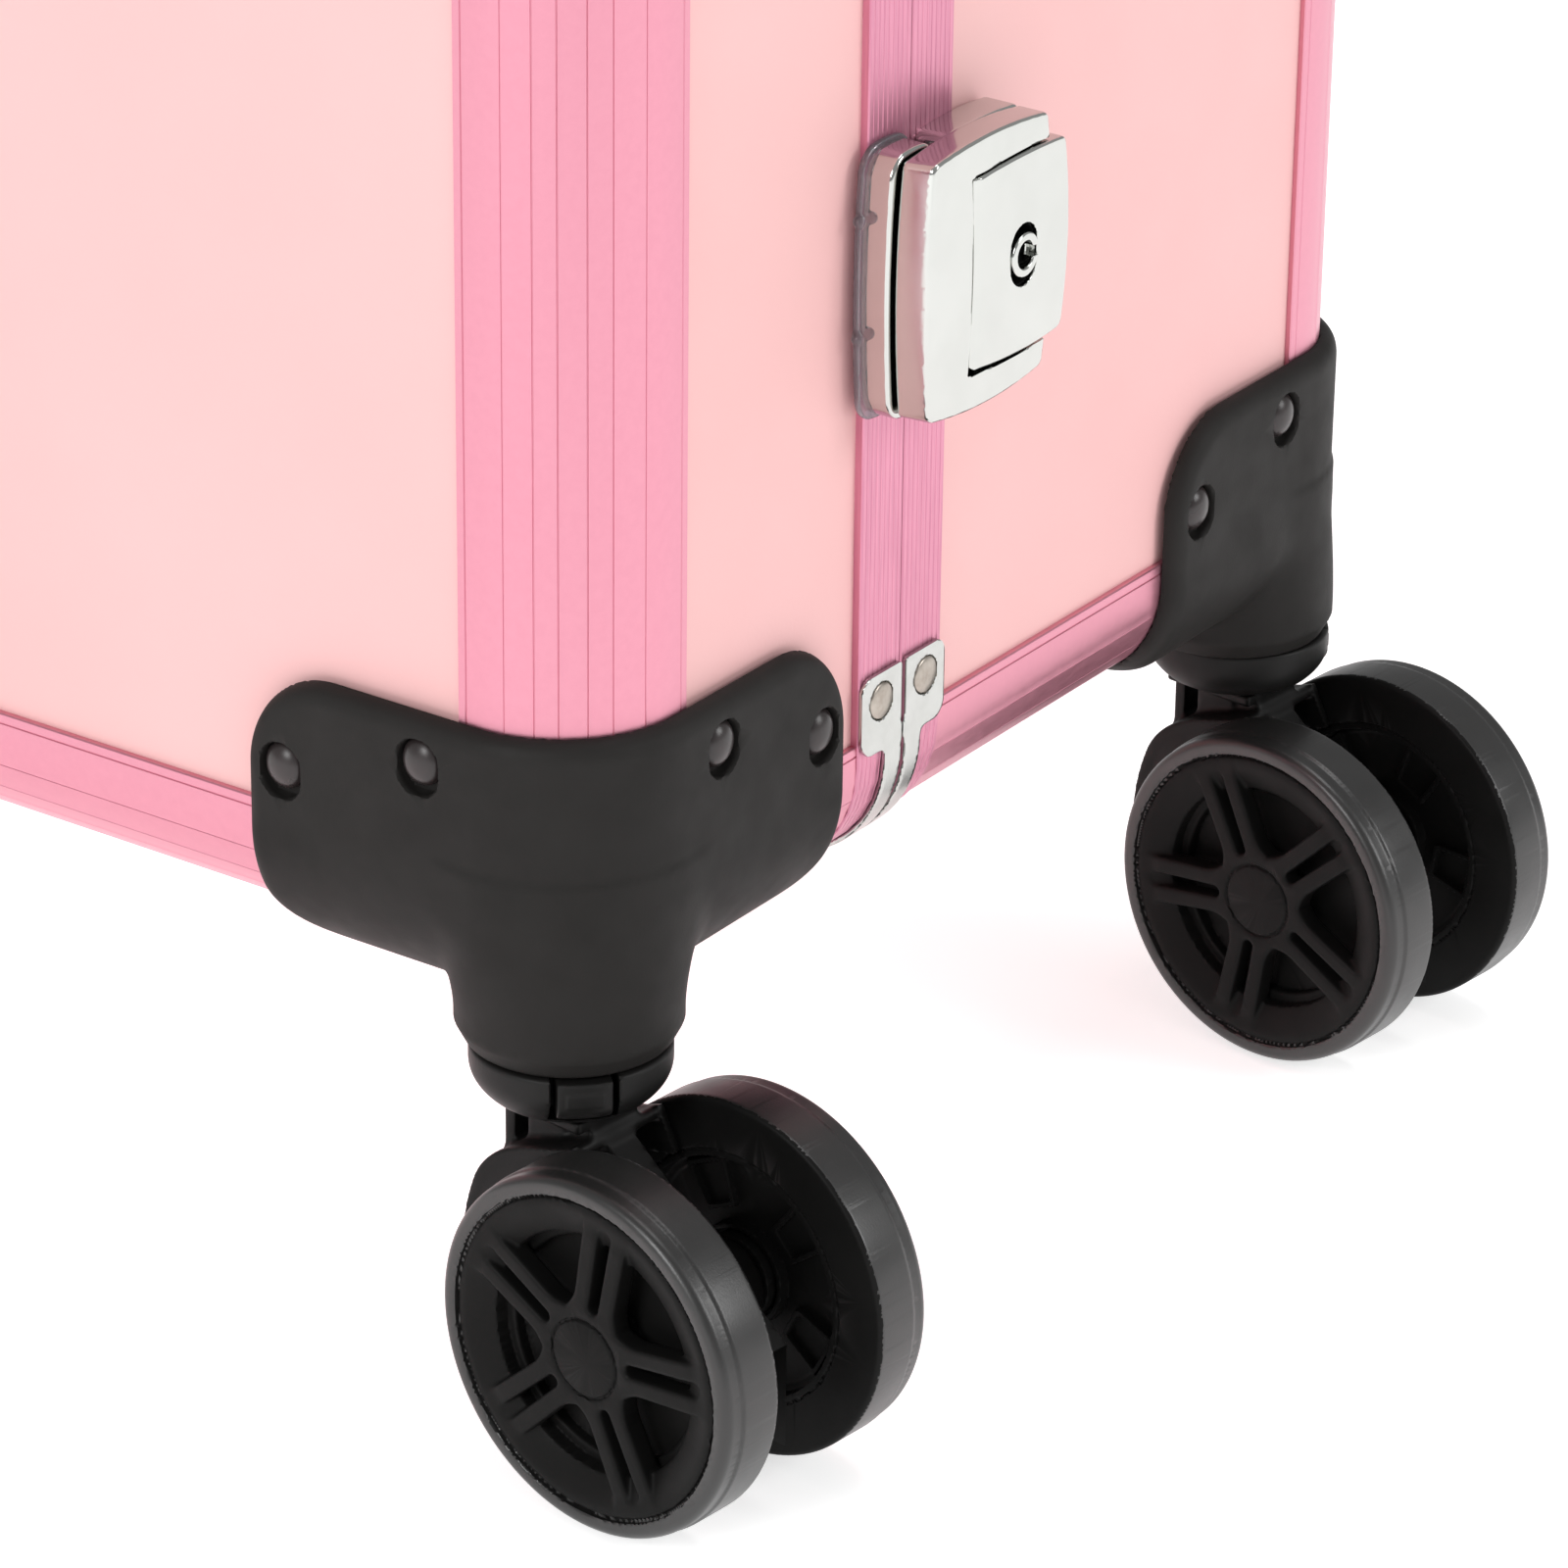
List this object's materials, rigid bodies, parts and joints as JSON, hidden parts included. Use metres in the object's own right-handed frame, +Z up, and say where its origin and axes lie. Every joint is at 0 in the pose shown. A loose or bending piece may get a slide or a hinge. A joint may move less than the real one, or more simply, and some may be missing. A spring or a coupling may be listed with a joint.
{
  "type": "rolling makeup train case",
  "caption": "Upright rolling makeup train case with a hinged lid half, key latches, moulded corner guards, plug-in twin-wheel casters and a telescopic handle.",
  "frame": {"origin": "on the floor under the middle of the case and its casters", "axes": "+Z up, -Y towards the lid's front, +X towards the side with the latches"},
  "size_m": [0.4878, 0.2668, 0.6686],
  "materials": {
    "panel": "fine-grained laminate, satin",
    "pink_trim": "pink anodised, ribbed",
    "pink_frame": "pink anodised, brushed lengthwise",
    "guard": "matte black moulded",
    "guard_rivet": "black lacquered, domed",
    "clip": "zinc plated",
    "latch": "bright chrome",
    "key_cylinder": "bright chrome",
    "caster_shell": "matte black moulded",
    "wheel": "black polyurethane, satin",
    "steel_pin": "plain steel",
    "lining": "black velvet-like liner",
    "shelf": "black moulded",
    "hinge": "nickel plated",
    "handle_tube": "clear anodised",
    "handle_plastic": "matte black moulded"
  },
  "bodies": {
    "base": {"base_back_panel": "panel", "base_wall_panels": "panel", "base_lining": "lining", "base_shelves": "shelf", "base_edge_trims": "pink_trim", "base_seam_frame": "pink_frame", "base_corner_clips": "clip", "base_bottom_guards": "guard", "base_top_guards": "guard", "base_guard_rivets": "guard_rivet", "hinge_base_leaf": "hinge", "hinge_pin": "steel_pin", "handle_housing": "handle_plastic", "latch_upper_body": "latch", "latch_lower_body": "latch", "carry_handle_mounts": "handle_plastic", "caster_rear_right_collar": "caster_shell", "caster_rear_left_collar": "caster_shell"},
    "lid": {"lid_front_panel": "panel", "lid_wall_panels": "panel", "lid_lining": "lining", "lid_edge_trims": "pink_trim", "lid_seam_frame": "pink_frame", "lid_corner_clips": "clip", "lid_bottom_guards": "guard", "lid_top_guards": "guard", "lid_guard_rivets": "guard_rivet", "hinge_lid_leaf": "hinge", "latch_catches": "latch", "caster_front_right_collar": "caster_shell", "caster_front_left_collar": "caster_shell"},
    "handle_outer": {"handle_outer_tubes": "handle_tube"},
    "handle_inner": {"handle_inner_tubes": "handle_tube", "handle_grip": "handle_plastic"},
    "handle_button": {"handle_button": "handle_plastic"},
    "carry_handle": {"carry_handle": "handle_plastic"},
    "latch_lower_lever": {"latch_lower_lever": "latch"},
    "latch_lower_key": {"latch_lower_key_cylinder": "key_cylinder"},
    "latch_upper_lever": {"latch_upper_lever": "latch"},
    "latch_upper_key": {"latch_upper_key_cylinder": "key_cylinder"},
    "caster_front_right_tab": {"caster_front_right_release_tab": "caster_shell"},
    "caster_front_right_swivel": {"caster_front_right_fork": "caster_shell", "caster_front_right_axle": "steel_pin"},
    "caster_front_right_outer_roll": {"caster_front_right_outer_wheel": "wheel"},
    "caster_front_right_inner_roll": {"caster_front_right_inner_wheel": "wheel"},
    "caster_front_left_tab": {"caster_front_left_release_tab": "caster_shell"},
    "caster_front_left_swivel": {"caster_front_left_fork": "caster_shell", "caster_front_left_axle": "steel_pin"},
    "caster_front_left_outer_roll": {"caster_front_left_outer_wheel": "wheel"},
    "caster_front_left_inner_roll": {"caster_front_left_inner_wheel": "wheel"},
    "caster_rear_right_tab": {"caster_rear_right_release_tab": "caster_shell"},
    "caster_rear_right_swivel": {"caster_rear_right_fork": "caster_shell", "caster_rear_right_axle": "steel_pin"},
    "caster_rear_right_outer_roll": {"caster_rear_right_outer_wheel": "wheel"},
    "caster_rear_right_inner_roll": {"caster_rear_right_inner_wheel": "wheel"},
    "caster_rear_left_tab": {"caster_rear_left_release_tab": "caster_shell"},
    "caster_rear_left_swivel": {"caster_rear_left_fork": "caster_shell", "caster_rear_left_axle": "steel_pin"},
    "caster_rear_left_outer_roll": {"caster_rear_left_outer_wheel": "wheel"},
    "caster_rear_left_inner_roll": {"caster_rear_left_inner_wheel": "wheel"}
  },
  "joints": [
    {"name": "lid_hinge", "type": "hinge", "parent": "base", "child": "lid", "pos_m": [-0.2026, -0.032, 0.36], "axis": [0, 0, -1], "range_deg": [0, 110]},
    {"name": "handle_stage_1", "type": "slide", "parent": "base", "child": "handle_outer", "axis": [0, 0, 1], "range_m": [0, 0.36]},
    {"name": "handle_stage_2", "type": "slide", "parent": "handle_outer", "child": "handle_inner", "axis": [0, 0, 1], "range_m": [0, 0.36]},
    {"name": "handle_button_press", "type": "slide", "parent": "handle_inner", "child": "handle_button", "axis": [0, 0, -1], "range_m": [0, 0.0035], "stiffness_N_per_m": 300},
    {"name": "carry_handle_swing", "type": "hinge", "parent": "base", "child": "carry_handle", "pos_m": [0, 0.005, 0.649], "axis": [1, 0, 0], "range_deg": [0, 90]},
    {"name": "latch_lower_flap", "type": "hinge", "parent": "base", "child": "latch_lower_lever", "pos_m": [0.2111, -0.0295, 0.1884], "axis": [0, 0, -1], "range_deg": [0, 60]},
    {"name": "latch_lower_key_turn", "type": "hinge", "parent": "latch_lower_lever", "child": "latch_lower_key", "pos_m": [0.2125, -0.0182, 0.1884], "axis": [1, 0, 0], "range_deg": [0, 90]},
    {"name": "latch_upper_flap", "type": "hinge", "parent": "base", "child": "latch_upper_lever", "pos_m": [0.2111, -0.0295, 0.5316], "axis": [0, 0, -1], "range_deg": [0, 60]},
    {"name": "latch_upper_key_turn", "type": "hinge", "parent": "latch_upper_lever", "child": "latch_upper_key", "pos_m": [0.2125, -0.0182, 0.5316], "axis": [1, 0, 0], "range_deg": [0, 90]},
    {"name": "caster_front_right_turn", "type": "hinge", "parent": "lid", "child": "caster_front_right_swivel", "pos_m": [0.185, -0.103, 0.06], "axis": [0, 0, 1], "continuous": true},
    {"name": "caster_front_right_release", "type": "slide", "parent": "lid", "child": "caster_front_right_tab", "axis": [-0.7071, 0.7071, 0], "range_m": [0, 0.0015], "stiffness_N_per_m": 300},
    {"name": "caster_front_right_outer_spin", "type": "hinge", "parent": "caster_front_right_swivel", "child": "caster_front_right_outer_roll", "pos_m": [0.20985, -0.10574, 0.03175], "axis": [0.1097, 0.994, 0], "continuous": true},
    {"name": "caster_front_right_inner_spin", "type": "hinge", "parent": "caster_front_right_swivel", "child": "caster_front_right_inner_roll", "pos_m": [0.20985, -0.10574, 0.03175], "axis": [0.1097, 0.994, 0], "continuous": true},
    {"name": "caster_front_left_turn", "type": "hinge", "parent": "lid", "child": "caster_front_left_swivel", "pos_m": [-0.185, -0.103, 0.06], "axis": [0, 0, 1], "continuous": true},
    {"name": "caster_front_left_release", "type": "slide", "parent": "lid", "child": "caster_front_left_tab", "axis": [0.7071, 0.7071, 0], "range_m": [0, 0.0015], "stiffness_N_per_m": 300},
    {"name": "caster_front_left_outer_spin", "type": "hinge", "parent": "caster_front_left_swivel", "child": "caster_front_left_outer_roll", "pos_m": [-0.20985, -0.10026, 0.03175], "axis": [-0.1097, -0.994, 0], "continuous": true},
    {"name": "caster_front_left_inner_spin", "type": "hinge", "parent": "caster_front_left_swivel", "child": "caster_front_left_inner_roll", "pos_m": [-0.20985, -0.10026, 0.03175], "axis": [-0.1097, -0.994, 0], "continuous": true},
    {"name": "caster_rear_right_turn", "type": "hinge", "parent": "base", "child": "caster_rear_right_swivel", "pos_m": [0.185, 0.103, 0.06], "axis": [0, 0, 1], "continuous": true},
    {"name": "caster_rear_right_release", "type": "slide", "parent": "base", "child": "caster_rear_right_tab", "axis": [-0.7071, -0.7071, 0], "range_m": [0, 0.0015], "stiffness_N_per_m": 300},
    {"name": "caster_rear_right_outer_spin", "type": "hinge", "parent": "caster_rear_right_swivel", "child": "caster_rear_right_outer_roll", "pos_m": [0.20985, 0.10026, 0.03175], "axis": [0.1097, 0.994, 0], "continuous": true},
    {"name": "caster_rear_right_inner_spin", "type": "hinge", "parent": "caster_rear_right_swivel", "child": "caster_rear_right_inner_roll", "pos_m": [0.20985, 0.10026, 0.03175], "axis": [0.1097, 0.994, 0], "continuous": true},
    {"name": "caster_rear_left_turn", "type": "hinge", "parent": "base", "child": "caster_rear_left_swivel", "pos_m": [-0.185, 0.103, 0.06], "axis": [0, 0, 1], "continuous": true},
    {"name": "caster_rear_left_release", "type": "slide", "parent": "base", "child": "caster_rear_left_tab", "axis": [0.7071, -0.7071, 0], "range_m": [0, 0.0015], "stiffness_N_per_m": 300},
    {"name": "caster_rear_left_outer_spin", "type": "hinge", "parent": "caster_rear_left_swivel", "child": "caster_rear_left_outer_roll", "pos_m": [-0.20985, 0.10574, 0.03175], "axis": [-0.1097, -0.994, 0], "continuous": true},
    {"name": "caster_rear_left_inner_spin", "type": "hinge", "parent": "caster_rear_left_swivel", "child": "caster_rear_left_inner_roll", "pos_m": [-0.20985, 0.10574, 0.03175], "axis": [-0.1097, -0.994, 0], "continuous": true}
  ]
}
